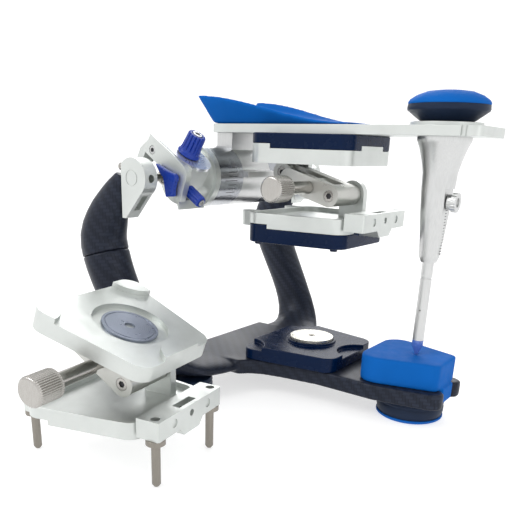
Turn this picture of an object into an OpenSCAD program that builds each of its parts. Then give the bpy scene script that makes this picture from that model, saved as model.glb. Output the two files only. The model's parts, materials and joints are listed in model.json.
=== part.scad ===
/* [Frame] */
// Distance between the centres of the two condyle balls
intercondylar = 110; // [106:1:114]
// Height of the condylar axis above the table
axis_height = 109; // [105:1:112]
// How far the condylar axis lies behind the incisal pin
axis_back = 115; // [113:1:117]
// Underside of the carbon base above the table
base_clear = 10; // [8:0.5:11]
// Thickness of the carbon base
base_thick = 8; // [7:0.5:9]

/* [Upper arm] */
// Length of the arm plate
arm_length = 139; // [132:1:142]
// Width of the arm plate
arm_width = 36; // [32:1:38]
// Thickness of the arm plate
arm_thick = 4.2; // [3.5:0.1:5]
// Height of the arm plate's top face above the table
arm_top = 134.8; // [133:0.1:136]
// Radius of the transverse beam and of its scale drums
beam_r = 15; // [14:0.5:15.5]
// Radius of the incisal pin
pin_r = 2.7; // [2.3:0.1:3]

/* [Mounting plates] */
// Length of every mounting plate, front to back
plate_length = 51.4; // [50:0.2:54]
// Width of a mounting plate at its rear edge
plate_rear = 62.4; // [60:0.2:65]
// Width of a mounting plate at its front edge
plate_front = 45.5; // [44:0.5:48]
// How far behind the incisal pin the plates are centred
plate_back = 59.5; // [58:0.5:61]
// Radius of the magnet discs
magnet_r = 11.6; // [11:0.1:12]

/* [Condylar guidance] */
// Downward slope of the fossa boxes towards the front, in degrees
inclination = 33; // [25:1:40]
// Radius of a condyle ball
ball_r = 4; // [3.5:0.1:4.2]

/* [Model aligner] */
// Distance between the two pivots of an aligner's link
link_length = 34.9; // [34:0.1:35.5]
// Extra slope of the link of the unit on the bench, in degrees
bench_link_turn = 17.8; // [10:0.1:20]
// Tilt of the top plate of the unit on the bench, in degrees
bench_plate_tilt = 19.8; // [12:0.1:22]
// How far the clamp screw of the unit on the bench is undone
bench_clamp_out = 5; // [0:0.5:7]
// Place of the bench unit to the side of the origin
bench_y = -120; // [-130:1:-118]
// Swing of the bench unit about the vertical, in degrees
bench_turn = 8.5; // [6:0.5:10]

/* [Hidden] */
$fn = 64;
gap = 0.3;                          // play between curved faces of different bodies
run = 0.05;                         // running clearance on a shaft
base_top = base_clear + base_thick;
hinge_x = -axis_back;
plate_x = -plate_back;
pin_x = 0;                          // the incisal pin stands over the origin
half_ic = intercondylar / 2;
arm_under = arm_top - arm_thick;
arm_rear = -118;
arm_front = arm_rear + arm_length;
plate_half = plate_length / 2;
foot_r = 16.4;
foot_x = pin_x;
rear_foot = [-105, 55];
foot_screw_r = 2;
pad_h = 1.6;

// lower frame
fork_inner = 6.8;                   // half the slot between the prongs
slot_end = -19;
lower_plate_thick = 7.7;
lower_plate_top = base_top + lower_plate_thick;
magnet_rise = 2.9;
table_h = 13;                       // incisal table above the carbon base
table_top = base_top + table_h;

// condyle housing and box, measured outwards from the middle plane
housing_in = 69.7;
housing_out = 77.5;
housing_r = 8.9;
housing_back = 6.8;                 // flat back face behind the axis
shaft_r = 1.9;
box_out = 60;
box_in = 43;
roof = ball_r + 0.8;                // fossa roof above the axis
box_top = 13.8;
box_rear = -14.5;
wall_in = 56.4;                     // inside of the outer wall
wall_t = 13;                        // front of the box along the slope
drum_in = 12.2;
drum_out = 31;
collar_out = 45;
spindle_r = 6;
collar_r = 13.4;
knob_t = 2;                         // Bennett knob along the slope
knob_y = 49;
dial_r = 10.2;                      // scale plate round the Bennett knob
dial_y = 48.2;
dial_rear = -9;
shift_n = 2.6;                      // side-shift knob below the roof
shift_y = 53;
lever_t = 9.6;
lever_n = 6.4;
lever_y = box_out + 0.4;
lever_w = 3;

// aligner, in its own frame: origin under the middle of the base plate
base_plate_thick = 7.2;
tray_floor = 4.7;
pivot_l = [10.1, 16.3];             // lower pivot, in x and z
link_rise = 15.8;                   // slope of the link when both plates are level
pivot_u = pivot_l + link_length * [-cos(link_rise), sin(link_rise)];
top_under = 30.6;
top_thick = 6.6;
lug_h = 2.1;
clamp_at = 12.3 / link_length;      // clamp screw along the link
clamp = pivot_l + clamp_at * (pivot_u - pivot_l);
pivot_r = 2;
barrel_r = 5.2;
pocket_h = 1.6;
ear_in = 13;
ear_out = 17;
bar_front = 36;
bar_half = 22.5;
bar_under = 2;
leg_x = [32.4, -29.8];
leg_y = 19.5;
leg_r = 1.8;
hung_z = arm_under - 6.9 - top_under - top_thick;
bench_z = 18.2;
bench_x = -81;
model_plate_thick = 6.9;

carbon = [0.16, 0.19, 0.27];
silver = [0.80, 0.81, 0.80];
steel = [0.62, 0.60, 0.57];
navy = [0.05, 0.10, 0.24];
bright_blue = [0.07, 0.36, 0.86];
knob_blue = [0.10, 0.20, 0.66];
dark_grey = [0.20, 0.23, 0.30];

// ---------- shared shapes ----------

module right_side() {
    mirror([0, 1, 0]) children();
}

// A rod along Y from y0 to y1, centred on (x, z).
module y_rod(x, z, y0, y1, r) {
    translate([x, y0, z]) rotate([-90, 0, 0]) cylinder(h = y1 - y0, r = r);
}

// A rod along X from x0 to x1, centred on (y, z).
module x_rod(y, z, x0, x1, r) {
    translate([x0, y, z]) rotate([0, 90, 0]) cylinder(h = x1 - x0, r = r);
}

// A flat shape drawn in x and z, made solid from y0 to y1.
module xz_solid(y0, y1) {
    translate([0, y1, 0]) rotate([90, 0, 0]) linear_extrude(y1 - y0) children();
}

// A straight bar with round ends between two points of the x-z plane.
module bar_2d(p, q, r) {
    d = q - p;
    a = atan2(d.y, d.x);
    translate(p) circle(r);
    translate(q) circle(r);
    translate(p) rotate(a) translate([0, -r]) square([norm(d), 2 * r]);
}

// Trapezoid of a mounting plate, with round corners.
module plate_2d(r = 7) {
    slant = atan2((plate_rear - plate_front) / 2, plate_length);
    x = plate_half - r;
    yr = plate_rear / 2 - r * (1 + sin(slant)) / cos(slant);
    yf = plate_front / 2 - r * (1 - sin(slant)) / cos(slant);
    n = r * [sin(slant), cos(slant)];
    for (s = [-1, 1]) {
        translate([-x, s * yr]) circle(r);
        translate([x, s * yf]) circle(r);
    }
    polygon([[-plate_half, -yr], [-x + n.x, -yr - n.y], [x + n.x, -yf - n.y], [plate_half, -yf],
        [plate_half, yf], [x + n.x, yf + n.y], [-x + n.x, yr + n.y], [-plate_half, yr]]);
}

// Places of the three index lugs of a plate: two rear corners and the middle of the front edge.
module index_zones(play = 0) {
    intersection() {
        plate_2d();
        union() {
            for (s = [-1, 1]) translate([-plate_half, s * plate_rear / 2]) circle(13 - play);
            translate([plate_half + 4, 0]) circle(12 - play);
        }
    }
}

// Ribbed knob along Z: a bell-shaped foot, a tapered ribbed grip and a recessed hollow top.
module bell_knob(foot_radius, grip_r, h) {
    difference() {
        rotate_extrude()
            polygon([[1, 0], [foot_radius, 0], [foot_radius, 0.9], [grip_r + 0.6, 2.6], [grip_r, h],
                [grip_r - 1.1, h], [grip_r - 1.1, h - 1], [1, h - 1]]);
        for (i = [0 : 11])
            rotate(i * 30) translate([grip_r + 0.55, 0, 2.8]) cylinder(h = h, r = 0.75);
    }
}

// Knurled or ribbed cylinder along Z with grooves round it.
module ribbed_rod(r, h, grooves, groove_r) {
    difference() {
        cylinder(h = h, r = r);
        for (i = [0 : grooves - 1])
            rotate(i * 360 / grooves) translate([r + groove_r * 0.55, 0, -1])
                cylinder(h = h + 2, r = groove_r, $fn = 16);
    }
}

// Closed skin through rings of points that all have the same number of points.
module loft(rings) {
    m = len(rings[0]);
    n = len(rings);
    pts = [for (ring = rings) each ring];
    sides = [for (i = [0 : n - 2], j = [0 : m - 1])
        let (a = i * m + j, b = i * m + (j + 1) % m) each [[a, a + m, b + m], [a, b + m, b]]];
    ends = [[for (j = [0 : m - 1]) j], [for (j = [m - 1 : -1 : 0]) (n - 1) * m + j]];
    polyhedron(pts, concat(sides, ends), convexity = 6);
}

// ---------- carbon frame ----------

// Stations of a leg and its upright: centre, half width across the leg, half thickness.
LEG = [[[-100, 30, 14], 20, 4.0], [[-101, 42, 14], 18, 4.1], [[-104, 53, 14.5], 15.5, 4.6],
    [[-108, 62, 18], 13.5, 6], [[-113.5, 68.5, 26], 12, 8], [[-120.5, 72, 37.5], 11, 10],
    [[-127.5, 73.6, 49], 10.8, 11], [[-134, 74, 61], 11.2, 11.4], [[-138.5, 74, 72], 12, 11.4],
    [[-139.6, 74, 80], 12, 11], [[-136.5, 74, 88.5], 11.2, 9.4], [[-131.5, 74, 97], 9.5, 6.6],
    [[-127.2, 73.8, 105], 6.4, 4.6], [[-125.3, 73.6, 110], 3.2, 3]];
seam = 8;                           // station where the upright is bonded to the leg
leg_sides = 32;
leg_steps = 2;                      // rings per station
LEG_LAST = len(LEG) - 1;

function unit(v) = v / norm(v);
function station(i) = LEG[max(0, min(i, LEG_LAST))];
// A smooth curve through one value of the stations, at a place f between whole stations.
function between(f, k) =
    let (i = min(floor(f), LEG_LAST - 1), t = f - i, a = station(i - 1)[k], b = station(i)[k],
        c = station(i + 1)[k], d = station(i + 2)[k])
    b + 0.5 * t * (c - a + t * (2 * a - 5 * b + 4 * c - d + t * (3 * (b - c) + d - a)));
function leg_dir(f) = unit(between(min(f + 0.1, LEG_LAST), 0) - between(max(f - 0.1, 0), 0));
function leg_ring(f) =
    let (t = leg_dir(f), u = unit([1, 0, 0] - t.x * t), v = cross(t, u), p = between(f, 0), w = between(f, 1),
        h = between(f, 2))
    [for (k = [0 : leg_sides - 1]) let (a = k * 360 / leg_sides) p + w * cos(a) * u + h * sin(a) * v];

module leg(first, last) {
    n = round((last - first) * leg_steps);
    loft([for (i = [0 : n]) leg_ring(first + (last - first) * i / n)]);
}

// Plan of one side of the base, from the rear edge to the tip of the prong.
BASE_EDGE = [[-120, 0], [-120, 36], [-82, 36], [-78, 31.5], [-72, 28], [-62, 25.3], [-42, 22], [-26, 22],
    [-13, 22.3], [3, 19.6], [16, 16.6]];
prong_tip = [15.2, (fork_inner + 16.4) / 2];
prong_tip_r = (16.4 - fork_inner) / 2;

module base_2d() {
    difference() {
        union() {
            for (s = [-1, 1]) scale([1, s]) {
                polygon(concat(BASE_EDGE, [[16, 0]]));
                translate(prong_tip) circle(prong_tip_r);
            }
        }
        translate([slot_end, -fork_inner]) square([60, 2 * fork_inner]);
        translate([slot_end, 0]) circle(fork_inner);
    }
}

module foot_places() {
    translate([foot_x, 0, 0]) children();
    for (s = [-1, 1]) translate([rear_foot.x, s * rear_foot.y, 0]) children();
}

module lower_frame() {
    color(carbon) difference() {
        union() {
            translate([0, 0, base_clear]) linear_extrude(base_thick) base_2d();
            leg(0, seam);
            right_side() leg(0, seam);
        }
        for (s = [-1, 1]) translate([rear_foot.x, s * rear_foot.y, -1]) {
            cylinder(h = base_clear + 1, r = foot_r + 1);
            cylinder(h = base_clear + 5, r = foot_screw_r + run);
        }
        translate([plate_x, 0, base_clear - 1]) cylinder(h = base_thick + 2, r = foot_screw_r + run);
    }
}

module upright() {
    color(carbon) difference() {
        leg(seam, LEG_LAST);
        translate([hinge_x, 0, axis_height]) xz_solid(housing_in - 5, housing_out + 8) housing_2d();
        translate([hinge_x - housing_back, 60, axis_height - 14]) cube([20, 30, 30]);
    }
}

module left_upright() {
    upright();
}

module right_upright() {
    right_side() upright();
}

module feet() {
    color(dark_grey) foot_places() difference() {
        r = foot_r;
        rotate_extrude()
            polygon([[0, pad_h], [r - 0.6, pad_h], [r, 4], [r, 6], [r - 0.5, 7], [r, 8],
                [r - 0.6, base_clear],
                [0, base_clear]]);
        translate([0, 0, -1]) cylinder(h = base_clear + 2, r = foot_screw_r + run);
        translate([0, 0, -1]) cylinder(h = pad_h + 3, r = 3.7);
    }
}

module foot_pads() {
    color(bright_blue) foot_places() rotate_extrude()
        polygon([[0, 0], [foot_r - 0.9, 0], [foot_r, 0.6], [foot_r, pad_h], [0, pad_h]]);
}

module foot_screws() {
    color(steel) foot_places() {
        translate([0, 0, pad_h]) cylinder(h = 1.8, r = 3.6);
        translate([0, 0, pad_h]) cylinder(h = base_clear + 2, r = foot_screw_r);
    }
}

module lower_mount_plate() {
    color(navy) translate([plate_x, 0, base_top]) difference() {
        union() {
            linear_extrude(lower_plate_thick) plate_2d();
            translate([0, 0, lower_plate_thick]) cylinder(h = 1.6, r = magnet_r + 1.6);
        }
        translate([0, 0, lower_plate_thick - lug_h]) linear_extrude(10) index_zones();
        translate([0, 0, lower_plate_thick + 0.4]) cylinder(h = 5, r = magnet_r + run);
        translate([0, 0, -1]) cylinder(h = 20, r = foot_screw_r + run);
    }
}

// A magnet disc on Z with a ring groove and a countersunk centre hole.
module magnet_disc(h) {
    difference() {
        cylinder(h = h, r = magnet_r);
        translate([0, 0, h - 0.25]) difference() {
            cylinder(h = 1, r = magnet_r - 1.2);
            translate([0, 0, -1]) cylinder(h = 3, r = magnet_r - 1.7);
        }
        translate([0, 0, -1]) cylinder(h = h + 2, r = foot_screw_r + run);
    }
}

module lower_magnet() {
    color([0.86, 0.85, 0.78]) translate([plate_x, 0, lower_plate_top + 0.4]) magnet_disc(magnet_rise - 0.4);
}

module lower_magnet_screw() {
    color(steel) translate([plate_x, 0, base_clear + 0.5]) difference() {
        h = lower_plate_top + magnet_rise - base_clear - 0.8;
        cylinder(h = h, r = foot_screw_r);
        translate([0, 0, h - 1.6]) cylinder(h = 3, r = 1, $fn = 6);
    }
}

module table_2d() {
    hull() for (s = [-1, 1]) {
        translate([pin_x - 13.6, s * 10.8]) circle(9, $fn = 48);
        translate([pin_x + 14, s * 9.6]) circle(2.5, $fn = 24);
    }
}

module incisal_table() {
    color(bright_blue) difference() {
        union() {
            translate([0, 0, base_top]) linear_extrude(table_h) table_2d();
            translate([-15, -fork_inner + 0.2, base_clear + 0.6])
                cube([33, 2 * fork_inner - 0.4, base_thick]);
        }
        translate([pin_x, 0, table_top + 1.2]) sphere(2.2);
        translate([pin_x, 0, 0]) cylinder(h = base_clear + 6, r = foot_screw_r + run);
    }
}

// ---------- condyle housings ----------

// Outline of a housing round the condylar axis: a disc with a flat back and a pointed foot.
module housing_2d() {
    intersection() {
        union() {
            circle(housing_r);
            polygon([[-housing_back, 6], [-housing_back, -18.3], [-4.4, -18.3], [7.8, -4.3], [7.8, 2]]);
        }
        translate([-housing_back, -30]) square([60, 60]);
    }
}

module condyle_housing() {
    color(silver) translate([hinge_x, 0, axis_height]) difference() {
        xz_solid(housing_in, housing_out) housing_2d();
        y_rod(0, 0, housing_in - 1, housing_out - 1.2, shaft_r + run);
        difference() {
            y_rod(0, 0, housing_out - 0.25, housing_out + 1, 3.7);
            y_rod(0, 0, housing_out - 1, housing_out + 2, 3.3);
        }
        x_rod(73.6, 0, 2.6, 12, 1.8);
        x_rod(73.6, 4.6, -10, -1, 1 + run);
        // pocket in the slanted lower face
        translate([1.7, 73.6, -11.3]) rotate([0, 41, 0]) cube([6, 3.6, 9], center = true);
    }
}

module left_condyle_housing() {
    condyle_housing();
}

module right_condyle_housing() {
    right_side() condyle_housing();
}

module housing_screws() {
    color(steel) for (s = [-1, 1]) scale([1, s, 1]) translate([hinge_x, 0, axis_height]) {
        x_rod(73.6, 4.6, -9, -1.5, 1);
        x_rod(73.6, 4.6, -11, -9, 1.7);
    }
}

module condyle() {
    color(steel) translate([hinge_x, 0, axis_height]) {
        translate([0, half_ic, 0]) sphere(ball_r);
        y_rod(0, 0, half_ic, housing_out - 1.6, shaft_r);
    }
}

module left_condyle() {
    condyle();
}

module right_condyle() {
    right_side() condyle();
}

// ---------- upper frame ----------

module upper_arm() {
    r = 4;
    x0 = arm_rear + r;
    x1 = arm_front - r;
    y1 = arm_width / 2 - r;
    color(silver) difference() {
        union() {
            translate([0, 0, arm_under]) linear_extrude(arm_thick) {
                for (x = [x0, x1], s = [-1, 1]) translate([x, s * y1]) circle(r);
                translate([x0, -arm_width / 2]) square([x1 - x0, arm_width]);
                translate([arm_rear, -y1]) square([arm_length, 2 * y1]);
            }
            translate([pin_x, 0, arm_top]) cylinder(h = 1.6, r = 15.5);
        }
        for (s = [-1, 1]) translate([hinge_x + 2, s * 7, arm_under - 1]) {
            cylinder(h = 10, r = 1.5 + run);
            translate([0, 0, 3]) cylinder(h = 10, r = 2.7 + run);
        }
        for (s = [-1, 1]) translate([arm_front - 7, s * arm_width / 2, arm_under - 1])
            cylinder(h = 10, r = 1.2);
    }
}

// Side view of the middle of the beam: round body, block under the arm and a hollow web between them.
module beam_2d() {
    top = arm_under - axis_height;
    web = 11;
    circle(beam_r);
    translate([-3, 0]) square([10, top]);
    difference() {
        translate([7, 0]) square([web, web + 3]);
        translate([7 + web, web + 3]) circle(web);
    }
}

module transverse_beam() {
    color(silver) difference() {
        translate([hinge_x, 0, axis_height]) union() {
            xz_solid(-drum_in, drum_in) beam_2d();
            y_rod(0, 0, -collar_out + 0.5, collar_out - 0.5, spindle_r);
        }
        for (s = [-1, 1]) translate([hinge_x + 2, s * 7, arm_under - 9]) cylinder(h = 10, r = 1.5 + run);
    }
}

module scale_drum() {
    ticks = 8;
    color([0.70, 0.71, 0.72]) translate([hinge_x, 0, axis_height]) difference() {
        y_rod(0, 0, drum_in, drum_out, beam_r);
        y_rod(0, 0, drum_in - 1, drum_out + 1, spindle_r + run);
        for (i = [0 : ticks - 1])
            rotate([0, 38 - 8 * i, 0]) translate([beam_r - 0.25, drum_in + 5, -0.15])
                cube([1, i % 4 == 0 ? 10 : 7, 0.3]);
    }
}

module left_scale_drum() {
    scale_drum();
}

module right_scale_drum() {
    right_side() scale_drum();
}

module arm_screws() {
    color(steel) for (s = [-1, 1]) translate([hinge_x + 2, s * 7, arm_under - 7]) {
        cylinder(h = 9.8, r = 1.5);
        translate([0, 0, 10.05]) difference() {
            cylinder(h = 1.1, r = 2.7);
            translate([0, 0, 0.4]) cylinder(h = 2, r = 1.2, $fn = 6);
        }
        translate([0, 0, 9.5]) cylinder(h = 0.8, r = 1.5);
    }
}

// The rear rest is a saddle: two wings that rise to the rear and flare outwards.
rest_rear = -121;
rest_front = -38.5;
rest_rise = 13.3;
rest_steps = 14;

function rest_height(x) =
    let (t = (x - rest_rear) / (rest_front - rest_rear)) arm_top + 1 + (rest_rise - 1)
        * (1 + cos(180 * t)) / 2;
function rest_half(x) = arm_width / 2 + 8.5 * (rest_height(x) - arm_top - 1) / (rest_rise - 1);
function rest_ring(x) =
    let (z = rest_height(x), w = rest_half(x), b = arm_width / 2 - 0.5, m = arm_top + 1.2, d = 0.42 * (z - m),
        lean = 4 * max(0, 1 - (x - rest_rear) / 20) / (z - arm_top),
        side = [[b, arm_top], [w, z - 0.6], [w - 1.6, z], [w * 0.8, m + d * 1.45], [w * 0.55, m + d * 0.85],
            [w * 0.28, m + d * 0.42]])
    [for (q = concat([for (k = side) [-k.x, k.y]], [[0, m + d * 0.25]], [for (k = [5 : -1 : 0]) side[k]]))
        [x + lean * (z - q.y), q.x, q.y]];

module rear_rest() {
    color(bright_blue)
        loft([for (i = [rest_steps : -1 : 0])
            rest_ring(rest_rear + (rest_front - rest_rear) * i / rest_steps)]);
}

module rest_pad_base() {
    color(dark_grey) translate([pin_x, 0, arm_top + 1.6]) rotate_extrude()
        polygon([[0, 0], [10.3, 0], [12, 0.8], [17.2, 4.6], [17.4, 5.4], [17.2, 7], [0, 7]]);
}

module rest_pad_cap() {
    color(bright_blue) translate([pin_x, 0, arm_top + 8.6]) rotate_extrude()
        polygon([[0, 0], [17.2, 0], [17.3, 0.8], [16.6, 1.9], [14, 3.6], [10, 5.1], [6, 5.6], [0, 5.8]]);
}

module upper_mount_plate() {
    color(navy) translate([plate_x, 0, arm_under]) rotate([180, 0, 0]) difference() {
        linear_extrude(6.9) plate_2d();
        translate([0, 0, 6.9 - lug_h]) linear_extrude(10) index_zones();
        translate([0, 0, 4]) cylinder(h = 10, r = magnet_r + 3);
    }
}

module incisal_post() {
    z0 = 76.2;
    h = arm_under - z0;
    color(silver) difference() {
        translate([pin_x, 0, z0]) rotate_extrude()
            polygon([[0, 0], [3.6, 0], [4.6, 2.4], [6.1, 18.5], [6.6, 23], [7.2, 31], [7.6, 39.5],
                [8.7, 44.5],
                [10.2, 49.5], [11.7, 53], [11.7, h], [0, h]]);
        translate([pin_x, 0, z0 - 1]) cylinder(h = 49, r = pin_r + run);
        translate([pin_x + 5.2, -10, z0 - 1]) cube([20, 20, 34]);
        x_rod(0, 103.5, pin_x, pin_x + 20, 1.5 + run);
        for (i = [0 : 15]) translate([pin_x + 5, -1.2, z0 + 4 + 1.3 * i]) cube([1, i % 5 == 0 ? 3 : 2, 0.3]);
    }
}

module incisal_pin() {
    color(steel) translate([pin_x, 0, 0]) {
        translate([0, 0, 69]) cylinder(h = 43, r = pin_r);
        translate([0, 0, 63]) cylinder(h = 7, r = 1.2);
    }
}

module pin_shank() {
    color(steel) translate([pin_x, 0, 38.4]) difference() {
        union() {
            cylinder(h = 30, r = pin_r);
            translate([0, 0, 30]) cylinder(h = 0.6, r = pin_r - 0.3);
        }
        translate([0, 0, 24]) cylinder(h = 10, r = 1.2 + run);
        translate([0, -1, 15]) rotate([90, 0, 0]) cylinder(h = 5, r = 0.5);
        translate([0, 0, -1]) cylinder(h = 4, r = 1 + run);
    }
}

module pin_tip() {
    color([0.45, 0.55, 0.85]) translate([pin_x, 0, table_top + 0.1]) {
        rotate_extrude() polygon([[0, -0.4], [0.5, -0.3], [0.8, 0.4], [pin_r, 4.4], [pin_r, 7.3], [0, 7.3]]);
        cylinder(h = 9, r = 1);
    }
}

module pin_thumb_screw() {
    color(steel) difference() {
        union() {
            x_rod(0, 103.5, pin_x + pin_r + 0.3, pin_x + 8, 1.5);
            x_rod(0, 103.5, pin_x + 5.6, pin_x + 7.6, 3.4);
            translate([pin_x + 7.6, 0, 103.5]) rotate([0, 90, 0]) ribbed_rod(4.3, 2.2, 18, 0.5);
        }
        x_rod(0, 103.5, pin_x + 9, pin_x + 12, 2);
    }
}

// ---------- condylar boxes, drawn along the slope: X down the slope, Z away from it ----------

module on_slope() {
    translate([hinge_x, 0, axis_height]) rotate([0, inclination, 0]) children();
}

module fossa_box() {
    color(silver) on_slope() difference() {
        union() {
            xz_solid(box_in, wall_in) translate([box_rear, roof]) square([wall_t - box_rear, box_top - roof]);
            // outer wall with a round front end
            xz_solid(wall_in, box_out) polygon(concat(
                [[8.6, -1.2], [8.6, roof], [box_rear, roof], [box_rear, box_top]],
                [for (a = [90 : -10 : 0]) [8.4 + 7 * cos(a), box_top - 7 + 7 * sin(a)]], [[17.3, -1.2]]));
            // rear corner that drops behind the housing
            xz_solid(box_in + 9, box_out)
                polygon([[box_rear + 0.7, box_top - 1.5], [box_rear - 2.4, roof], [box_rear - 2, -0.5],
                    [box_rear + 1.5, -0.5], [box_rear + 4, roof + 1]]);
            // front wall and the lip that hangs from it
            xz_solid(box_in, box_out) translate([8.6, -1.2]) square([wall_t - 8.6, 10]);
            xz_solid(collar_out - 3, box_out)
                polygon([[11, 2], [11, -1.6], [15.4, -2.4], [18.3, -4.9], [18.9, -4.4], [16.4, -1],
                    [12.8, -0.9], [12.4, 2]]);
            y_rod(0, 0, drum_out + gap, collar_out, collar_r);
            y_rod(0, 0, drum_out + gap, drum_out + 4, beam_r + 0.3);
        }
        // room for the ball and its shaft under the roof
        xz_solid(collar_out, box_out + 1) translate([box_rear + 1.5, -30])
            square([8.6 - box_rear - 1.5, 30 + roof]);
        y_rod(0, 0, drum_out - 1, collar_out + 1, spindle_r + run);
        // seat of the scale plate in the top face
        translate([0, 0, box_top - 1.2]) linear_extrude(5) bennett_2d(0.35);
        translate([knob_t, knob_y, roof + 1]) cylinder(h = 20, r = 1.6);
        y_rod(-9.8, 8.2, box_out - 1.2, box_out + 1, 2);
        x_rod(shift_y, shift_n, 5, wall_t + 10, 1.2 + run);
        y_rod(lever_t, lever_n, box_out - 5, box_out + 1, 1 + run);
    }
}

module left_fossa_box() {
    fossa_box();
}

module right_fossa_box() {
    right_side() fossa_box();
}

// Outline of the scale plate on the box's top face, grown by g.
module bennett_2d(g) {
    r = dial_r + g;
    translate([knob_t + 1.6, dial_y]) circle(r);
    translate([dial_rear - g, dial_y - r]) square([knob_t + 1.6 - dial_rear + g, 2 * r]);
}

module bennett_plate() {
    color([0.86, 0.87, 0.88]) on_slope() translate([0, 0, box_top - 1.2]) difference() {
        linear_extrude(1.4) bennett_2d(0);
        translate([knob_t, knob_y, -1]) cylinder(h = 5, r = 1.6);
        for (i = [0 : 8])
            translate([knob_t, knob_y, 1.2]) rotate(-52 + 13 * i) translate([6.6, -0.12, 0])
                cube([2.2, 0.25, 1]);
    }
}

module left_bennett_plate() {
    bennett_plate();
}

module right_bennett_plate() {
    right_side() bennett_plate();
}

module bennett_knob() {
    color(knob_blue) on_slope() translate([knob_t, knob_y, box_top + 0.5]) {
        bell_knob(5.6, 4.3, 10.4);
        difference() {
            cylinder(h = 9, r = 2.4);
            translate([0, 0, 7]) cylinder(h = 3, r = 1.2);
        }
        translate([0, 0, -6]) cylinder(h = 7, r = 1.5);
    }
}

module left_bennett_knob() {
    bennett_knob();
}

module right_bennett_knob() {
    right_side() bennett_knob();
}

module shift_knob() {
    color(knob_blue) on_slope() translate([0, shift_y, shift_n]) rotate([0, 90, 0]) {
        translate([0, 0, 6.5]) cylinder(h = 10, r = 1.2);
        translate([0, 0, wall_t + 0.4]) difference() {
            ribbed_rod(2.8, 10.5, 9, 0.7);
            translate([0, 0, 9.8]) cylinder(h = 3, r = 1.3, $fn = 6);
        }
    }
}

module left_shift_knob() {
    shift_knob();
}

module right_shift_knob() {
    right_side() shift_knob();
}

module lock_lever() {
    color(knob_blue) on_slope() {
        xz_solid(lever_y, lever_y + lever_w) difference() {
            union() {
                translate([lever_t, lever_n]) circle(2.4);
                polygon([[-2.6, 6], [2.8, 3.7], [4.8, 3.6], [11, -2.9], [14.4, -0.2], [12.9, 2.3],
                    [11.9, 5.8], [9.6, 8.8], [4, 7.2]]);
            }
        }
        y_rod(lever_t, lever_n, box_out - 4, lever_y + 0.1, 1);
    }
}

module left_lock_lever() {
    lock_lever();
}

module right_lock_lever() {
    right_side() lock_lever();
}

// ---------- aligner unit, drawn level in its own frame ----------

module at_hung() {
    translate([plate_x, 0, hung_z]) children();
}

module at_bench() {
    translate([bench_x, bench_y, bench_z]) rotate(bench_turn) children();
}

// Turns about the Y axis through a pivot of the x-z plane.
module turn_about(p, a) {
    translate([p.x, 0, p.y]) rotate([0, a, 0]) translate([-p.x, 0, -p.y]) children();
}

// The bench unit's link and top plate after the two turns of its link and plate.
module bench_link_pose() {
    at_bench() turn_about(pivot_l, bench_link_turn) children();
}

module bench_plate_pose() {
    bench_link_pose() turn_about(pivot_u, bench_plate_tilt - bench_link_turn) children();
}

// An ear that stands on a plate and carries one pivot.
module ear(p, foot_z) {
    w = 6.8;
    xz_solid(ear_in, ear_out) {
        translate(p) circle(w);
        translate([p.x - w, min(p.y, foot_z)]) square([2 * w, abs(foot_z - p.y)]);
    }
}

module top_plate() {
    color(silver) difference() {
        union() {
            translate([0, 0, top_under]) linear_extrude(top_thick) plate_2d();
            translate([0, 0, top_under]) linear_extrude(top_thick + lug_h) index_zones(0.1);
            ear(pivot_u, top_under + 1);
        }
        translate([0, 0, top_under + top_thick - 2]) cylinder(h = 10, r = magnet_r + 4);
        // pocket for the link's barrel in the underside
        translate([pivot_u.x - barrel_r - 1, -4, top_under - 1])
            cube([3 * barrel_r, ear_in + 3.99, 1 + pocket_h]);
        y_rod(pivot_u.x, pivot_u.y, ear_in - 1, ear_out + 1, pivot_r + run);
    }
}

module magnet() {
    color([0.55, 0.58, 0.66]) translate([0, 0, top_under + top_thick - 2]) magnet_disc(1);
}

module pivot_pin(p, y0) {
    color(steel) difference() {
        union() {
            y_rod(p.x, p.y, y0, ear_out, pivot_r);
            y_rod(p.x, p.y, y0, y0 + 1.4, 2.7);
        }
        translate([p.x, y0 - 1, p.y]) rotate([-90, 0, 0]) cylinder(h = 2, r = 1.4, $fn = 6);
    }
}

module link() {
    near_end = pivot_l + 0.7 * (pivot_u - pivot_l);
    color([0.70, 0.70, 0.66]) difference() {
        union() {
            xz_solid(-11, -6.5) bar_2d(pivot_l, near_end, barrel_r);
            xz_solid(3, 9) bar_2d(pivot_l, pivot_u, barrel_r);
            y_rod(pivot_l.x, pivot_l.y, -11, ear_in - gap, barrel_r);
            y_rod(pivot_u.x, pivot_u.y, -2, ear_in - gap, barrel_r);
            y_rod(clamp.x, clamp.y, -7, 4, 4.4);
        }
        y_rod(pivot_l.x, pivot_l.y, -12, ear_in, pivot_r + run);
        y_rod(pivot_l.x, pivot_l.y, -12, -9.5, 2.7 + run);
        y_rod(pivot_u.x, pivot_u.y, -3, ear_in, pivot_r + run);
        y_rod(pivot_u.x, pivot_u.y, -3, -0.5, 2.7 + run);
        y_rod(clamp.x, clamp.y, -12, 10, pivot_r + run);
    }
}

// The clamp screw with its knurled head, screwed out by the given distance.
module clamp_knob(out) {
    color(steel) translate([clamp.x, -out, clamp.y]) rotate([-90, 0, 0]) {
        translate([0, 0, -12]) cylinder(h = 19, r = pivot_r);
        translate([0, 0, -31.5]) cylinder(h = 20.2, r = 3.1);
        translate([0, 0, -43.6]) cylinder(h = 0.8, r1 = 5.2, r2 = 6);
        translate([0, 0, -42.8]) ribbed_rod(6, 10.8, 26, 0.45);
        translate([0, 0, -32]) cylinder(h = 1.6, r1 = 5.6, r2 = 3.2);
    }
}

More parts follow.
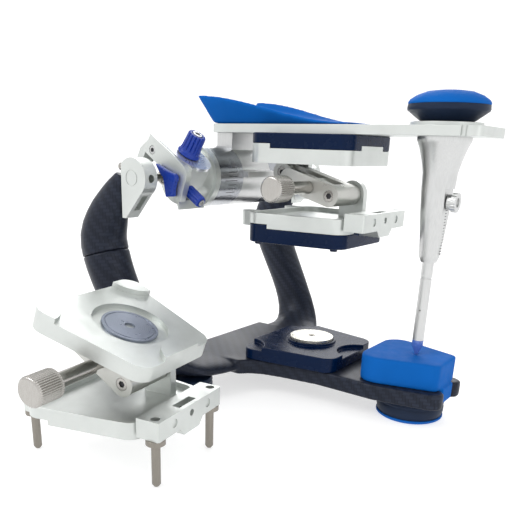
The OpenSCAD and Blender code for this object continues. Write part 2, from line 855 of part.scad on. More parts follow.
module base_plate() {
    color(silver) difference() {
        union() {
            linear_extrude(base_plate_thick) plate_2d();
            for (s = [-1, 1]) translate([leg_x[1], s * leg_y, 0]) {
                cylinder(h = base_plate_thick, r = 4);
                translate([0, -4, 0]) cube([8, 8, base_plate_thick]);
            }
            ear(pivot_l, tray_floor - 1);
        }
        difference() {
            translate([0, 0, tray_floor]) linear_extrude(10) scale([0.93, 0.94]) plate_2d();
            ear(pivot_l, tray_floor - 1);
        }
        translate([0, 0, -1]) linear_extrude(1 + lug_h) index_zones();
        y_rod(pivot_l.x, pivot_l.y, ear_in - 1, ear_out + 1, pivot_r + run);
        for (s = [-1, 1]) translate([leg_x[1], s * leg_y, -1]) cylinder(h = 20, r = leg_r + run);
    }
}

module crossbar() {
    z0 = bar_under;
    z1 = 10;
    x0 = plate_half;
    color(silver) difference() {
        union() {
            translate([x0, -bar_half, z0]) cube([bar_front - x0, 2 * bar_half, z1 - z0]);
            translate([bar_front, 0, 0]) rotate([0, -90, 0]) linear_extrude(bar_front - x0)
                polygon([[z0 + 1, -9], [-1.2, -5.5], [-1.2, 5.5], [z0 + 1, 9]]);
        }
        for (s = [-1, 1]) translate([leg_x[0], s * leg_y, -2]) cylinder(h = 20, r = leg_r + run);
        x_rod(0, 6.4, x0 - 1, bar_front + 1, 1.4);
        for (s = [-1, 1]) x_rod(s * 12, 6.2, bar_front - 0.5, bar_front + 1, 1.8);
        translate([30.5, -6, z1 - 3]) cube([3.6, 12, 5]);
        for (s = [-1, 1])
            translate([bar_front - 0.1, s * 24, z0 - 2]) rotate([0, 0, 45]) cube([3, 3, 30], center = true);
    }
}

module legs() {
    color(steel) for (x = leg_x, s = [-1, 1]) translate([x, s * leg_y, -bench_z]) {
        translate([0, 0, 1.2]) cylinder(h = bench_z + base_plate_thick - 2, r = leg_r);
        cylinder(h = 1.2, r1 = leg_r - 0.8, r2 = leg_r);
        translate([0, 0, bench_z + (x > 0 ? bar_under : 0) - 2.2]) cylinder(h = 2.2, r = 3.9);
    }
}

module model_plate() {
    color(navy) translate([0, 0, -model_plate_thick]) {
        linear_extrude(model_plate_thick) plate_2d();
        linear_extrude(model_plate_thick + lug_h - 0.1) index_zones(0.1);
    }
}

module studs() {
    color(navy) for (s = [-1, 1]) {
        translate([-21, s * 24, -model_plate_thick - 1.5]) cylinder(h = 1.5, r = 1.8);
        translate([19, s * 18, -model_plate_thick - 1.5]) cylinder(h = 1.5, r = 1.8);
    }
}

module hung_top_plate() { at_hung() top_plate(); }
module hung_magnet() { at_hung() magnet(); }
module hung_top_pin() { at_hung() pivot_pin(pivot_u, -2); }
module hung_link() { at_hung() link(); }
module hung_clamp_knob() { at_hung() clamp_knob(0); }
module hung_base_plate() { at_hung() base_plate(); }
module hung_crossbar() { at_hung() crossbar(); }
module hung_base_pin() { at_hung() pivot_pin(pivot_l, -11); }
module hung_model_plate() { at_hung() model_plate(); }
module hung_studs() { at_hung() studs(); }

module bench_top_plate() { bench_plate_pose() top_plate(); }
module bench_magnet() { bench_plate_pose() magnet(); }
module bench_top_pin() { bench_plate_pose() pivot_pin(pivot_u, -2); }
module bench_link() { bench_link_pose() link(); }
module bench_clamp_knob() { bench_link_pose() clamp_knob(bench_clamp_out); }
module bench_base_plate() { at_bench() base_plate(); }
module bench_crossbar() { at_bench() crossbar(); }
module bench_base_pin() { at_bench() pivot_pin(pivot_l, -11); }
module bench_legs() { at_bench() legs(); }

lower_frame();
right_upright();
left_upright();
feet();
foot_pads();
foot_screws();
lower_mount_plate();
lower_magnet();
lower_magnet_screw();
incisal_table();
right_condyle_housing();
left_condyle_housing();
housing_screws();
right_condyle();
left_condyle();
upper_arm();
transverse_beam();
right_scale_drum();
left_scale_drum();
arm_screws();
rear_rest();
rest_pad_base();
rest_pad_cap();
upper_mount_plate();
incisal_post();
incisal_pin();
pin_shank();
pin_tip();
pin_thumb_screw();
right_fossa_box();
left_fossa_box();
right_bennett_plate();
left_bennett_plate();
right_bennett_knob();
left_bennett_knob();
right_shift_knob();
left_shift_knob();
right_lock_lever();
left_lock_lever();
hung_top_plate();
hung_magnet();
hung_top_pin();
hung_link();
hung_clamp_knob();
hung_base_plate();
hung_crossbar();
hung_base_pin();
hung_model_plate();
hung_studs();
bench_top_plate();
bench_magnet();
bench_top_pin();
bench_link();
bench_clamp_knob();
bench_base_plate();
bench_crossbar();
bench_base_pin();
bench_legs();
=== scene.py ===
"""Looks of a dental articulator with its two model aligners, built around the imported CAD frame."""

import json
import math

import bmesh
import bpy
from mathutils import Matrix, Vector


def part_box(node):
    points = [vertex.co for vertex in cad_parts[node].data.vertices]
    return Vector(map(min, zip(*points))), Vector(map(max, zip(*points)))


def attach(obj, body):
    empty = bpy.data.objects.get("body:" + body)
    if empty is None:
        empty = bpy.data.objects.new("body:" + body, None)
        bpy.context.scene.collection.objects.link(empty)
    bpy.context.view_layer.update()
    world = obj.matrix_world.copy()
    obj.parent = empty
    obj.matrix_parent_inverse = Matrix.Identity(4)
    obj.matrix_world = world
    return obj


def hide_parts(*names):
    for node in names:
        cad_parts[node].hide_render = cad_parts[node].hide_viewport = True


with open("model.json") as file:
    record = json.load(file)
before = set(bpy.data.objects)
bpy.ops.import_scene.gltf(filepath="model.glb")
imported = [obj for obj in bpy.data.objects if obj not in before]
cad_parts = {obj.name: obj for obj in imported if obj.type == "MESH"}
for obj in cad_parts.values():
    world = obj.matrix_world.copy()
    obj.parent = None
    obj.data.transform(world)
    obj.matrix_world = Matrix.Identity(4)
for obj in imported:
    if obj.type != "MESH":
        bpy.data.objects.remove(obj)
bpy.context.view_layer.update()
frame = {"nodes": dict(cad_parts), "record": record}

MM = 0.001
record = frame["record"]
body_of_node = {n: b for b, nodes in record["behaviour"]["bodies"].items() for n in nodes}
slot_of_node = {s["node"]: s["material_slot"] for s in record["subparts"]}
joints = {j["name"]: j for j in record["behaviour"]["joints"]}


# ---------------------------------------------------------------- materials

class Nodes:
    """A short way to build a material's node tree round its Principled BSDF."""

    def __init__(self, name):
        self.material = bpy.data.materials.new(name)
        self.material.use_nodes = True
        self.tree = self.material.node_tree
        self.shader = self.tree.nodes["Principled BSDF"]
        coordinates = self.add("ShaderNodeTexCoord").outputs
        self.object_space = coordinates["Object"]
        self.normal = coordinates["Normal"]

    def add(self, kind, **settings):
        made = self.tree.nodes.new(kind)
        for key, value in settings.items():
            setattr(made, key, value)
        return made

    def put(self, socket, value):
        """Sets a socket to a constant, or links another socket to it."""
        if hasattr(value, "is_output"):
            self.tree.links.new(value, socket)
        else:
            socket.default_value = value

    def math(self, operation, a, b=0.0, c=0.0):
        made = self.add("ShaderNodeMath", operation=operation)
        for socket, value in zip(made.inputs, (a, b, c)):
            self.put(socket, value)
        return made.outputs[0]

    def noise(self, scale, detail, stretch=None):
        """Noise over the piece; scale is in waves per metre, and stretch scales each axis."""
        vector = self.object_space
        if stretch:
            mapping = self.add("ShaderNodeMapping")
            self.put(mapping.inputs["Vector"], vector)
            self.put(mapping.inputs["Scale"], stretch)
            vector = mapping.outputs[0]
        made = self.add("ShaderNodeTexNoise")
        self.put(made.inputs["Vector"], vector)
        self.put(made.inputs["Scale"], scale)
        self.put(made.inputs["Detail"], detail)
        return made.outputs["Fac"]

    def ramp(self, value, low, high):
        """Maps 0.3..0.7 of a value, where most of a noise lies, to low..high."""
        made = self.add("ShaderNodeMapRange")
        self.put(made.inputs["Value"], value)
        self.put(made.inputs["From Min"], 0.3)
        self.put(made.inputs["From Max"], 0.7)
        self.put(made.inputs["To Min"], low)
        self.put(made.inputs["To Max"], high)
        return made.outputs[0]

    def mix(self, factor, a, b):
        made = self.add("ShaderNodeMix", data_type="RGBA")
        self.put(made.inputs[0], factor)
        for socket, value in ((made.inputs[6], a), (made.inputs[7], b)):
            self.put(socket, value if hasattr(value, "is_output") else (*value, 1.0))
        return made.outputs[2]

    def bump(self, height, strength, distance):
        made = self.add("ShaderNodeBump")
        self.put(made.inputs["Height"], height)
        self.put(made.inputs["Strength"], strength)
        self.put(made.inputs["Distance"], distance)
        self.put(self.shader.inputs["Normal"], made.outputs[0])

    def set(self, **inputs):
        """Sets the shader's inputs by the short names below."""
        names = {"color": "Base Color", "metal": "Metallic", "rough": "Roughness", "coat": "Coat Weight",
                 "coat_rough": "Coat Roughness", "specular": "Specular IOR Level",
                 "anisotropic": "Anisotropic", "clear": "Transmission Weight"}
        for key, value in inputs.items():
            if key == "color" and not hasattr(value, "is_output"):
                value = (*value, 1.0)
            self.put(self.shader.inputs[names[key]], value)


def anodised(name, color, rough=0.36, grain=0.25):
    """Bead-blasted and anodised aluminium: fine grain, soft broad highlights, faint handling marks."""
    n = Nodes(name)
    cloud = n.noise(60, 4)
    dark = tuple(0.90 * c for c in color)
    n.set(color=n.mix(n.ramp(cloud, 0.0, 1.0), dark, color), metal=0.86,
          rough=n.ramp(n.noise(180, 5), rough - 0.05, rough + 0.07))
    n.bump(n.noise(5200, 2), grain, 0.00006)
    return n.material


def brushed(name, color, stretch, rough):
    """Turned or drawn metal: fine lines run along the axis that stretch scales down."""
    n = Nodes(name)
    lines = n.noise(4000, 2, stretch)
    n.set(color=n.mix(n.ramp(lines, 0.0, 1.0), tuple(0.9 * c for c in color), color), metal=1.0,
          rough=n.ramp(n.noise(90, 2), rough - 0.02, rough + 0.04), anisotropic=0.35)
    n.bump(lines, 0.08, 0.00002)
    return n.material


def plastic(name, color, rough, coat=0.0, grain=0.1, specular=0.22, clear=0.0):
    """Moulded or printed plastic with faint cloudiness and a very fine texture."""
    n = Nodes(name)
    cloud = n.ramp(n.noise(45, 4), 0.0, 1.0)
    n.set(color=n.mix(cloud, tuple(0.88 * c for c in color), color),
          rough=n.ramp(n.noise(220, 4), rough - 0.05, rough + 0.06), coat=coat, coat_rough=0.15,
          specular=specular, clear=clear)
    n.bump(n.noise(3000, 3), grain, 0.00008)
    return n.material


# Width of a bundle of carbon fibres in metres.
TOW = 0.0016


def woven_carbon(name, dark, light):
    """Twill of two tow directions under a satin lacquer, with painted shade towards each tow's edges. The
    tows' plane follows the surface.
    """
    n = Nodes(name)
    position = n.add("ShaderNodeSeparateXYZ")
    n.put(position.inputs[0], n.object_space)
    normal = n.add("ShaderNodeSeparateXYZ")
    n.put(normal.inputs[0], n.normal)
    x, y, z = position.outputs
    # a face belongs to the X or Z plane when its normal is within about 50 degrees of that axis
    faces_x = n.math("GREATER_THAN", n.math("ABSOLUTE", normal.outputs[0]), 0.64)
    faces_z = n.math("GREATER_THAN", n.math("ABSOLUTE", normal.outputs[2]), 0.64)

    def choose(flag, a, b):
        other = n.math("SUBTRACT", 1.0, flag)
        return n.math("ADD", n.math("MULTIPLY", flag, a), n.math("MULTIPLY", other, b))

    u = n.math("DIVIDE", choose(faces_x, y, x), TOW)
    v = n.math("DIVIDE", choose(faces_z, y, z), TOW)
    step = n.math("ADD", n.math("FLOOR", u), n.math("FLOOR", v))
    # two over, two under
    over = n.math("LESS_THAN", n.math("FLOORED_MODULO", step, 4.0), 1.99)
    # each tow is rounded across its width, and its colour is painted darker towards its edges as shade on
    # that rounding
    across = n.math("SUBTRACT", n.math("FRACT", choose(over, v, u)), 0.5)
    crown = n.math("SUBTRACT", 1.0, n.math("MULTIPLY", n.math("MULTIPLY", across, across), 3.2))
    # colour: the twill's two directions, plus painted shade across each tow
    twill_and_painted_shade = n.math("ADD", n.math("MULTIPLY", over, 0.45), n.math("MULTIPLY", crown, 0.5))
    cloud = n.noise(40, 4)
    n.set(color=n.mix(n.math("MULTIPLY", twill_and_painted_shade, n.ramp(cloud, 0.45, 1.0)), dark, light), metal=0.15,
          rough=n.ramp(cloud, 0.34, 0.46), coat=0.06, coat_rough=0.2, specular=0.16)
    n.bump(crown, 0.14, 0.0001)
    return n.material


def ringed(name, color, centre, rings=2300.0, rough=0.25, dark=0.75):
    """Face-turned disc with fine rings round its centre; rings is their number per metre."""
    n = Nodes(name)
    position = n.add("ShaderNodeVectorMath", operation="SUBTRACT")
    n.put(position.inputs[0], n.object_space)
    n.put(position.inputs[1], centre)
    length = n.add("ShaderNodeVectorMath", operation="LENGTH")
    n.put(length.inputs[0], position.outputs[0])
    wave = n.math("SINE", n.math("MULTIPLY", length.outputs["Value"], rings * 2 * math.pi))
    fine = n.math("MULTIPLY_ADD", wave, 0.5, 0.5)
    n.set(color=n.mix(fine, tuple(dark * c for c in color), color), metal=0.9,
          rough=n.ramp(n.noise(400, 3), rough - 0.04, rough + 0.1))
    n.bump(fine, 0.2, 0.00005)
    return n.material


def centre_of(node):
    """The middle of a node's box at rest."""
    low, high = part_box(node)
    return (low + high) / 2


# Material of each slot, by the slot's name.
MATERIALS = {
    "carbon": woven_carbon("carbon", (0.0065, 0.0085, 0.0155), (0.022, 0.028, 0.046)),
    "silver": anodised("silver", (0.62, 0.645, 0.625)),
    "polished": brushed("polished", (0.60, 0.605, 0.60), (1.0, 1.0, 0.03), 0.3),
    "steel": brushed("steel", (0.36, 0.345, 0.32), (1.0, 1.0, 0.1), 0.26),
    "navy": plastic("navy", (0.0004, 0.0085, 0.037), 0.24, coat=0.05, specular=0.1),
    "blue": plastic("blue", (0.004, 0.108, 0.42), 0.62, grain=0.25, specular=0.05),
    "knob_blue": plastic("knob_blue", (0.010, 0.038, 0.29), 0.26, coat=0.08),
    "dark_grey": plastic("dark_grey", (0.010, 0.019, 0.043), 0.42, specular=0.15),
    "pad_rubber": plastic("pad_rubber", (0.005, 0.10, 0.40), 0.6, grain=0.3, specular=0.1),
    "magnet": ringed("magnet", (0.80, 0.78, 0.70), centre_of("lower_magnet")),
    "tip": plastic("tip", (0.10, 0.20, 0.62), 0.18, coat=0.6, clear=0.35),
}
# dark ink for the scale lines, and also painted shade inside the Bennett knobs' holes
ink_and_painted_shade = plastic("ink_and_painted_shade", (0.012, 0.013, 0.018), 0.5)
# near-black steel, painted as the shade at the bottom of hex sockets
socket_painted_shade = brushed("socket_painted_shade", (0.06, 0.06, 0.065), (1.0, 1.0, 0.2), 0.4)
knob_steel = brushed("knob_steel", (0.46, 0.445, 0.42), (1.0, 1.0, 0.1), 0.24)
link_metal = anodised("link_metal", (0.56, 0.56, 0.53), 0.32, 0.4)
leg_metal = brushed("leg_metal", (0.27, 0.25, 0.22), (1.0, 1.0, 0.1), 0.3)
drum_metal = brushed("drum_metal", (0.40, 0.415, 0.44), (1.0, 0.05, 1.0), 0.24)
dial_metal = anodised("dial_metal", (0.74, 0.76, 0.79), 0.28, 0.15)
bench_magnet_metal = ringed("bench_magnet_metal", (0.27, 0.30, 0.37), centre_of("bench_magnet"), 1300.0,
                            rough=0.3, dark=0.85)


# ---------------------------------------------------------------- pieces

def dress(obj, material, body, nodes):
    """Gives a finished piece its material, hangs it on its body's empty and hides the CAD nodes it stands
    for.
    """
    obj.data.materials.clear()
    obj.data.materials.append(material)
    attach(obj, body)
    if nodes:
        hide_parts(*nodes)


# Edges sharper than this many degrees stay crisp in the shading, and get a bevel in refined().
SHARP = 38.0


def mesh_object(name, bm, smooth_angle=SHARP):
    """A new object from a bmesh, shaded smooth up to the given angle."""
    bmesh.ops.recalc_face_normals(bm, faces=bm.faces)
    mesh = bpy.data.meshes.new(name)
    for edge in bm.edges:
        edge.smooth = len(edge.link_faces) == 2 and edge.calc_face_angle(0.0) < math.radians(smooth_angle)
    for face in bm.faces:
        face.smooth = True
    bm.to_mesh(mesh)
    bm.free()
    obj = bpy.data.objects.new(name, mesh)
    bpy.context.scene.collection.objects.link(obj)
    return obj


def cad_bmesh(node):
    """The CAD node's shape with its seams closed and its flat faces whole again."""
    bm = bmesh.new()
    bm.from_mesh(frame["nodes"][node].data)
    bmesh.ops.remove_doubles(bm, verts=bm.verts, dist=2e-6)
    bmesh.ops.dissolve_limit(bm, angle_limit=math.radians(0.6), verts=bm.verts, edges=bm.edges)
    return bm


# Width in mm of a node's broken edges: EDGE, apart from the nodes in EDGES.
EDGE = 0.2
EDGES = {
    "transverse_beam": 0.4, "upper_arm": 0.35,
    "lower_mount_plate": 0.6, "upper_mount_plate": 0.6, "hung_model_plate": 0.6,
    "hung_top_plate": 0.5, "bench_top_plate": 0.5, "hung_base_plate": 0.5, "bench_base_plate": 0.5,
    "hung_crossbar": 0.4, "bench_crossbar": 0.4, "right_lock_lever": 0.5, "left_lock_lever": 0.5,
    "right_fossa_box": 0.45, "left_fossa_box": 0.45,
    "right_condyle_housing": 0.35, "left_condyle_housing": 0.35,
}

# Nodes whose material differs from that of their slot.
SPECIAL = {
    "hung_link": link_metal, "bench_link": link_metal,
    "right_scale_drum": drum_metal, "left_scale_drum": drum_metal,
    "right_bennett_plate": dial_metal, "left_bennett_plate": dial_metal,
    "bench_magnet": bench_magnet_metal, "hung_magnet": bench_magnet_metal,
    "pin_shank": MATERIALS["polished"], "incisal_pin": MATERIALS["polished"],
    "pin_thumb_screw": MATERIALS["polished"], "bench_legs": leg_metal,
    "hung_top_pin": knob_steel, "hung_base_pin": knob_steel,
    "bench_top_pin": knob_steel, "bench_base_pin": knob_steel,
}

# Nodes that already have a finer shape than refined() gives.
done = set()


def refined(node):
    """The CAD node's own shape with broken edges."""
    obj = mesh_object("look_" + node, cad_bmesh(node))
    edge = obj.modifiers.new("edge", "BEVEL")
    edge.width = EDGES.get(node, EDGE) * MM
    edge.segments = 2
    edge.limit_method = "ANGLE"
    edge.angle_limit = math.radians(SHARP)
    edge.use_clamp_overlap = True
    edge.harden_normals = True
    slot = slot_of_node[node]
    dress(obj, SPECIAL.get(node, MATERIALS[slot]), body_of_node[node], [node])


# ---------------------------------------------------------------- shapes made here

def joint_space(name):
    """A matrix whose Z runs along a joint's axis, from the joint's stated point."""
    joint = joints[name]
    axis = Vector(joint["axis"]).normalized()
    return Matrix.Translation(Vector(joint["pos_m"])) @ axis.to_track_quat("Z", "X").to_matrix().to_4x4()


def rounded_profile(points, radius, steps=4):
    """An open outline of (r, z) points in mm with the corners between its ends made round."""
    made = [Vector(points[0])]
    for before, corner, after in zip(points, points[1:], points[2:]):
        before, corner, after = Vector(before), Vector(corner), Vector(after)
        a = before - corner
        b = after - corner
        cut = min(radius, 0.45 * a.length, 0.45 * b.length)
        start = corner + a.normalized() * cut
        end = corner + b.normalized() * cut
        for i in range(steps + 1):
            t = i / steps
            made.append(start.lerp(corner, t).lerp(corner.lerp(end, t), t))
    made.append(Vector(points[-1]))
    return made


def lathe(name, profile, segments, relief=None, placed=Matrix.Identity(4), smooth_angle=SHARP):
    """Turns an (r, z) outline in mm about Z. relief(angle, r, z) gives the radius back with its ribs."""
    bm = bmesh.new()
    rings = []
    for r, z in profile:
        if r < 1e-4:
            rings.append([bm.verts.new((0, 0, z * MM))])
            continue
        ring = []
        for k in range(segments):
            a = 2 * math.pi * k / segments
            radius = relief(a, r, z) if relief else r
            ring.append(bm.verts.new((radius * math.cos(a) * MM, radius * math.sin(a) * MM, z * MM)))
        rings.append(ring)
    for low, high in zip(rings, rings[1:]):
        for k in range(segments):
            j = (k + 1) % segments
            if len(low) == 1 and len(high) == 1:
                break
            if len(low) == 1:
                bm.faces.new((low[0], high[j], high[k]))
            elif len(high) == 1:
                bm.faces.new((low[k], low[j], high[0]))
            else:
                bm.faces.new((low[k], low[j], high[j], high[k]))
    bm.transform(placed)
    return mesh_object(name, bm, smooth_angle)


def even(profile, pitch):
    """Adds points to an outline so that none are further than pitch apart."""
    made = [Vector(profile[0])]
    for a, b in zip(profile, profile[1:]):
        a, b = Vector(a), Vector(b)
        n = max(1, math.ceil((b - a).length / pitch))
        made += [a.lerp(b, i / n) for i in range(1, n + 1)]
    return made


def clay(node, name, voxel, rounds, material):
    """The CAD node's shape rebuilt as one even skin with soft edges, as a laid-up or moulded piece has."""
    obj = mesh_object(name, cad_bmesh(node))
    skin = obj.modifiers.new("skin", "REMESH")
    skin.mode = "VOXEL"
    skin.voxel_size = voxel * MM
    skin.use_smooth_shade = True
    soft = obj.modifiers.new("soft", "SMOOTH")
    soft.factor = 0.5
    soft.iterations = rounds
    done.add(node)
    dress(obj, material, body_of_node[node], [node])


def ride_along(obj, material, body):
    """Dresses a small detail that has no CAD node of its own."""
    dress(obj, material, body, [])


# Corners of each face of a box whose corners are numbered with Z fastest, then Y, then X.
BOX_FACES = ((0, 1, 3, 2), (4, 6, 7, 5), (0, 4, 5, 1), (2, 3, 7, 6), (0, 2, 6, 4), (1, 5, 7, 3))


def marks(name, node, boxes, placed):
    """Dark filling in the engraved lines of a scale. Each box is (matrix, low corner, high corner) in mm."""
    bm = bmesh.new()
    for matrix, low, high in boxes:
        corners = [matrix @ Vector((x, y, z)) for x in (low[0], high[0]) for y in (low[1], high[1])
                   for z in (low[2], high[2])]
        v = [bm.verts.new(corner * MM) for corner in corners]
        for face in BOX_FACES:
            bm.faces.new([v[i] for i in face])
    bm.transform(placed)
    ride_along(mesh_object(name, bm), ink_and_painted_shade, body_of_node[node])


def turned(degrees, axis):
    """A rotation about the X, Y or Z axis."""
    return Matrix.Rotation(math.radians(degrees), 4, axis)


clay("lower_frame", "carbon_base_and_legs", 0.8, 9, MATERIALS["carbon"])
clay("right_upright", "carbon_upright_right", 0.6, 3, MATERIALS["carbon"])
clay("left_upright", "carbon_upright_left", 0.6, 3, MATERIALS["carbon"])
clay("rear_rest", "rear_rest_wings", 0.7, 45, MATERIALS["blue"])
clay("incisal_table", "incisal_block", 0.6, 16, MATERIALS["blue"])


# Clamp knobs: fine straight ribs between two chamfered ends, on a plain shaft. Lengths are in mm.

RIBS = 40
RIB_DEPTH = 0.42
RIBS_FROM = -13.1
RIBS_TO = -2.0


def clamp_knob(unit, out):
    """A clamp screw undone by out. Distances along the axis are from the clamp joint's point."""
    node = unit + "_clamp_knob"
    outline = [(0, -13.6), (5.1, -13.6), (5.95, -12.8), (5.95, -2.1), (5.5, -1.9), (3.3, -0.5), (3.05, 0.2),
               (3.05, 18.7), (2, 18.7), (2, 37), (0, 37)]

    def ribs(angle, r, z):
        flank = max(0.0, min(1.0, (z + out - RIBS_FROM) / 0.5, (RIBS_TO - z - out) / 0.4))
        return r - RIB_DEPTH * flank * (0.5 - 0.5 * math.cos(RIBS * angle)) ** 1.5 if r > 5.3 else r

    shape = [(r, z - out) for r, z in even(outline, 0.6)]
    place = joint_space(unit + "_clamp_turn")
    obj = lathe("look_" + node, shape, 320, ribs, place, 50)
    done.add(node)
    dress(obj, knob_steel, body_of_node[node], [node])


clamp_knob("hung", 0)
clamp_knob("bench", 5)  # the loose aligner's screw stands undone


# Bennett knobs: fluted bell with a metal ring on top, and a dark disc painted in the ring's hole as shade.
# Shift knobs: a fluted rod.

FLUTES = 14
SHIFT_FLUTES = 9


def fluted(angle, r, z):
    """Grooves down a Bennett knob's bell, which run out above its flange."""
    grip = min(1.0, max(0.0, (z + 3.9) / 1.4))
    return r - 0.6 * grip * (0.5 + 0.5 * math.cos(FLUTES * angle)) ** 5 if r > 2.9 else r


def bennett_knob(side):
    node = side + "_bennett_knob"
    base = -5.7  # underside of the bell, from the joint's point
    outline = [(0, base - 5.5), (1.5, base - 5.5), (1.5, base), (5.6, base), (5.7, base + 0.9),
               (5.0, base + 1.6), (4.8, base + 2.6), (4.45, base + 6), (4.3, base + 9.9), (3.9, base + 10.4),
               (2.5, base + 10.4), (2.5, base + 9.3), (0, base + 9.3)]
    place = joint_space(side + "_bennett_turn")
    shape = even(rounded_profile(outline, 0.5), 0.7)
    obj = lathe("look_" + node, shape, 224, fluted, place, 55)
    done.add(node)
    dress(obj, MATERIALS["knob_blue"], body_of_node[node], [node])
    ring_outline = [(2.4, base + 9.2), (2.4, base + 10.75), (1.3, base + 10.75), (1.3, base + 9.4),
                    (0, base + 9.4)]
    ring = lathe(side + "_bennett_knob_ring", rounded_profile(ring_outline, 0.15), 64, placed=place)
    ride_along(ring, MATERIALS["polished"], body_of_node[node])
    # a dark disc inside the ring, painted as the shade down its hole
    hole_shade = lathe(side + "_bennett_knob_hole_shade", [(1.28, base + 9.42), (1.28, base + 9.6), (0, base + 9.6)], 48,
                 placed=place)
    ride_along(hole_shade, ink_and_painted_shade, body_of_node[node])


def small_flutes(angle, r, z):
    """Grooves down a shift knob's grip."""
    return r - 0.42 * (0.5 + 0.5 * math.cos(SHIFT_FLUTES * angle)) ** 2 if r > 2.3 else r


def shift_knob(side):
    node = side + "_shift_knob"
    outline = [(0, -3.4), (1.2, -3.4), (1.2, 3.4), (2.5, 3.4), (2.8, 3.9), (2.8, 12.9), (2.4, 13.6),
               (1.7, 13.6), (1.7, 13.0), (0, 13.0)]
    place = joint_space(side + "_shift_turn")
    obj = lathe("look_" + node, even(rounded_profile(outline, 0.25), 0.6), 108, small_flutes, place, 55)
    done.add(node)
    dress(obj, MATERIALS["knob_blue"], body_of_node[node], [node])
    end = lathe(side + "_shift_knob_end", [(1.6, 12.9), (1.6, 13.8), (0.9, 13.8), (0.8, 13.1), (0, 13.1)], 48,
                placed=place)
    ride_along(end, MATERIALS["polished"], body_of_node[node])


def hex_socket_shade(name, node, place, along, r=1.3):
    """A dark disc painted as the shade at the bottom of a screw's hexagonal socket; along is its place on the
    axis in mm.
    """
    obj = lathe(name, [(0, along), (r, along), (r, along + 0.12), (0, along + 0.12)], 6, placed=place)
    ride_along(obj, socket_painted_shade, body_of_node[node])


# Places in mm that the details here share with the CAD.
BOX_OUT = 60.0        # outer wall of a condylar box
BOX_TOP = 13.8        # its top face, away from the slope
DRUM_R = 15.0         # radius of a scale drum
DRUM_IN = 12.2        # its inner end
POST_FLAT = 5.2       # flat face of the pin's sleeve
POST_SCALE = 80.2     # height of the lowest line on it
KNOB_PLACE = (2, 49)  # Bennett knob, down the slope and to the side


def slope_space(side):
    """Axes of a condylar box, from the condyle: X down its slope, Y to its side, Z away from it."""
    down = Vector(joints[side + "_shift_turn"]["axis"]).normalized()
    away = Vector(joints[side + "_bennett_turn"]["axis"]).normalized()
    centre = Vector(joints[side + "_inclination"]["pos_m"])
    return Matrix((
        (down.x, 0, away.x, centre.x),
        (down.y, -1 if side == "right" else 1, away.y, 0),
        (down.z, 0, away.z, centre.z),
        (0, 0, 0, 1)))


def side_screw(side):
    """The small screw in the outer wall of a condylar box."""
    node = side + "_fossa_box"
    middle = Matrix.Translation((-9.8 * MM, BOX_OUT * MM, 8.2 * MM))
    place = slope_space(side) @ middle @ turned(-90, "X")
    outline = [(0, -1.15), (1.9, -1.15), (1.9, -0.25), (1.7, -0.05), (1.05, -0.05), (1.0, -0.6), (0, -0.6)]
    head = lathe(side + "_side_screw", outline, 48, placed=place)
    ride_along(head, MATERIALS["polished"], body_of_node[node])
    # a dark disc painted as the shade in the screw's socket
    hex_socket_shade(side + "_side_screw_socket_shade", node, place, -0.62, 0.98)


def dial_marks(side):
    """Lines on the Bennett plate, in an arc round the knob."""
    node = side + "_bennett_plate"
    middle = Matrix.Translation((*KNOB_PLACE, BOX_TOP))
    lines = [(middle @ turned(13 * i - 52, "Z"), (6.6, -0.12, 0.01), (8.8, 0.13, 0.18)) for i in range(9)]
    marks(side + "_dial_marks", node, lines, slope_space(side))


def drum_marks(side):
    """Lines along the scale drum; each fourth one is longer."""
    node = side + "_scale_drum"
    place = Matrix.Translation(Vector(joints[side + "_inclination"]["pos_m"]) * Vector((1, 0, 1)))
    place = place @ Matrix.Diagonal((1, -1 if side == "right" else 1, 1, 1))
    start = DRUM_IN + 5
    lines = []
    for i in range(8):
        end = start + (10 if i % 4 == 0 else 7)
        lines.append((turned(38 - 8 * i, "Y"), (DRUM_R - 0.24, start, -0.15), (DRUM_R - 0.03, end, 0.15)))
    marks(side + "_drum_marks", node, lines, place)


for side in ("right", "left"):
    bennett_knob(side)
    shift_knob(side)
    side_screw(side)
    dial_marks(side)
    drum_marks(side)


def post_marks():
    """Level lines on the flat of the pin's sleeve; each fifth one is longer."""
    lines = []
    for i in range(16):
        z = POST_SCALE + 1.3 * i
        end = 1.8 if i % 5 == 0 else 0.8
        lines.append((Matrix.Identity(4), (POST_FLAT - 0.19, -1.2, z), (POST_FLAT - 0.03, end, z + 0.3)))
    marks("post_marks", "incisal_post", lines, Matrix.Identity(4))


post_marks()
for unit, lower, upper in (("hung", "hung_base_swing", "hung_top_swing"),
                           ("bench", "bench_link_swing", "bench_top_swing")):
    # dark discs painted as the shade in the pins' sockets
    hex_socket_shade(unit + "_base_pin_socket_shade", unit + "_base_pin", joint_space(lower), -15.3)
    hex_socket_shade(unit + "_top_pin_socket_shade", unit + "_top_pin", joint_space(upper), -6.3)

for node in sorted(frame["nodes"]):
    if node not in done:
        refined(node)


# ---------------------------------------------------------------- stage, light and camera

def soft_box(name, place, target, width, height, power):
    """An area light that faces its target; sizes in metres and power in watts."""
    light = bpy.data.lights.new(name, "AREA")
    light.shape = "RECTANGLE"
    light.size = width
    light.size_y = height
    light.energy = power
    lamp = bpy.data.objects.new(name, light)
    lamp.location = place
    lamp.rotation_euler = (Vector(target) - Vector(place)).to_track_quat("-Z", "Y").to_euler()
    bpy.context.scene.collection.objects.link(lamp)


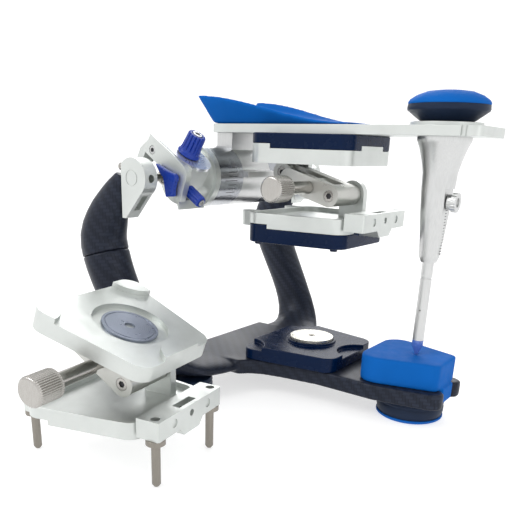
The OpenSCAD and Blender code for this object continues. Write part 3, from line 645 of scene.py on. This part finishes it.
def backdrop():
    """A pale floor that curves up into a round wall on every side."""
    floor = Nodes("floor")
    cloud = floor.ramp(floor.noise(3, 2), 0.0, 1.0)
    floor.set(color=floor.mix(cloud, (0.49, 0.49, 0.495), (0.51, 0.51, 0.51)), rough=0.7)
    floor.put(floor.shader.inputs["Emission Color"], (1.0, 1.0, 1.0, 1.0))
    floor.put(floor.shader.inputs["Emission Strength"], 0.62)
    flat = 1600
    bend = 900
    outline = [(0, 0), (flat, 0)]
    for i in range(1, 11):
        a = math.radians(9 * i)
        outline.append((flat + bend * math.sin(a), bend - bend * math.cos(a)))
    outline.append((flat + bend, 2600))
    obj = lathe("floor", outline, 96, smooth_angle=60)
    obj.location = (-0.05, 0.0, -0.0002)
    obj.data.materials.append(floor.material)


backdrop()
middle = (-0.06, -0.02, 0.06)
soft_box("key", (-0.55, -0.85, 1.05), middle, 0.7, 0.7, 6)
soft_box("top", (0.05, 0.15, 1.25), middle, 0.9, 0.9, 2.5)
soft_box("fill", (0.95, -0.35, 0.45), middle, 0.5, 0.5, 0.8)
soft_box("rear", (-0.55, 0.85, 0.70), middle, 0.9, 0.6, 5)

world = bpy.data.worlds.new("studio")
world.use_nodes = True
background = world.node_tree.nodes["Background"]
background.inputs["Color"].default_value = (1.0, 1.0, 1.0, 1.0)
background.inputs["Strength"].default_value = 0.6
bpy.context.scene.world = world
# Colours come out as they were set, so the backdrop stays near white.
bpy.context.scene.view_settings.view_transform = "Standard"

# The camera stands in front and to the right, a little above the object.
EYE = (0.10448, -0.28529, 0.12378)
YAW = math.radians(126.27)
PITCH = math.radians(20.23)
ROLL = math.radians(1.845)
forward = Vector((math.cos(YAW) * math.cos(PITCH), math.sin(YAW) * math.cos(PITCH), -math.sin(PITCH)))
level = forward.cross(Vector((0, 0, 1))).normalized()
upright = level.cross(forward)
right = level * math.cos(ROLL) + upright * math.sin(ROLL)
up = upright * math.cos(ROLL) - level * math.sin(ROLL)

camera = bpy.data.objects.new("camera", bpy.data.cameras.new("camera"))
bpy.context.scene.collection.objects.link(camera)
camera.data.lens = 43.07
camera.data.sensor_width = 36.0
camera.data.shift_x = 0.032
camera.data.shift_y = 0.224
camera.data.clip_start = 0.01
camera.matrix_world = Matrix((
    (right.x, up.x, -forward.x, EYE[0]),
    (right.y, up.y, -forward.y, EYE[1]),
    (right.z, up.z, -forward.z, EYE[2]),
    (0, 0, 0, 1)))
bpy.context.scene.camera = camera
